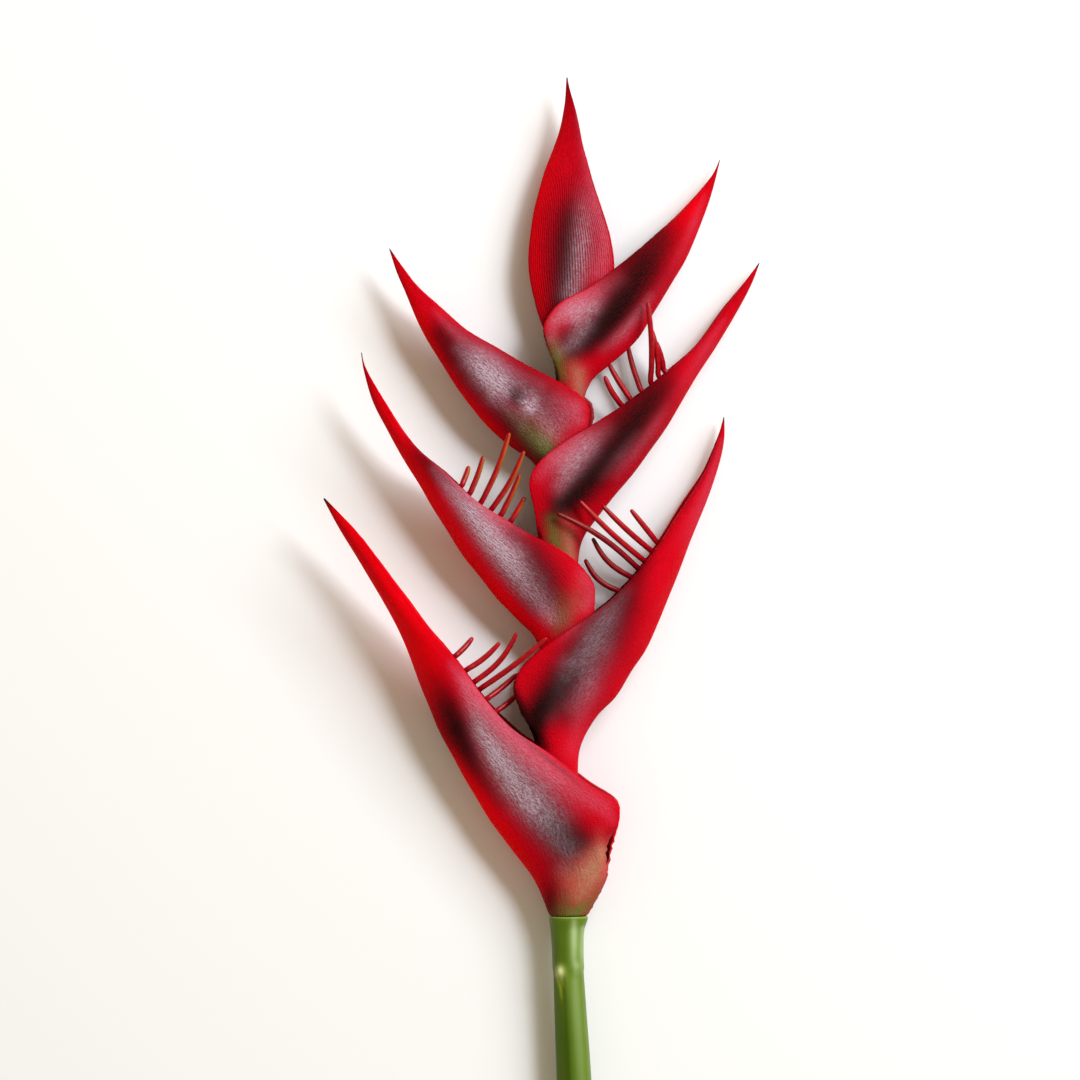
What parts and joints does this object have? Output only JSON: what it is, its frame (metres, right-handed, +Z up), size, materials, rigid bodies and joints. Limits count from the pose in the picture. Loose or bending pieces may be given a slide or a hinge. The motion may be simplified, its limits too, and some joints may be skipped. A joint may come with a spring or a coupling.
{
  "type": "heliconia flower",
  "caption": "Cut heliconia head of pointed boat-shaped red bracts on a zigzag axis, with bunches of thin florets in the lower bracts and a straight green stem, lying flat.",
  "frame": {"origin": "middle of the lying flower's footprint, at the surface it lies on", "axes": "+Y from the cut end of the stem towards the tip of the head, +Z up from the surface, +X towards the side of the right-hand bracts"},
  "size_m": [0.2092, 0.6, 0.0357],
  "materials": {
    "stem_green": "waxy green stem with soft facets along it",
    "bract_red": "satin saturated red with a dark grey-violet bloom along the cheek",
    "bract_dark_red": "satin deep red with a near-black band along the cheek",
    "floret_red": "satin red florets with orange-olive undersides"
  },
  "bodies": {
    "root": {"stem": "stem_green", "bract_top": "bract_red", "bract_right_1": "bract_dark_red", "bract_right_2": "bract_dark_red", "bract_right_3": "bract_dark_red", "bract_left_1": "bract_red", "bract_left_2": "bract_red", "bract_left_3": "bract_red", "florets_right_2": "floret_red", "florets_right_3": "floret_red", "florets_left_2": "floret_red", "florets_left_3": "floret_red"}
  },
  "joints": []
}
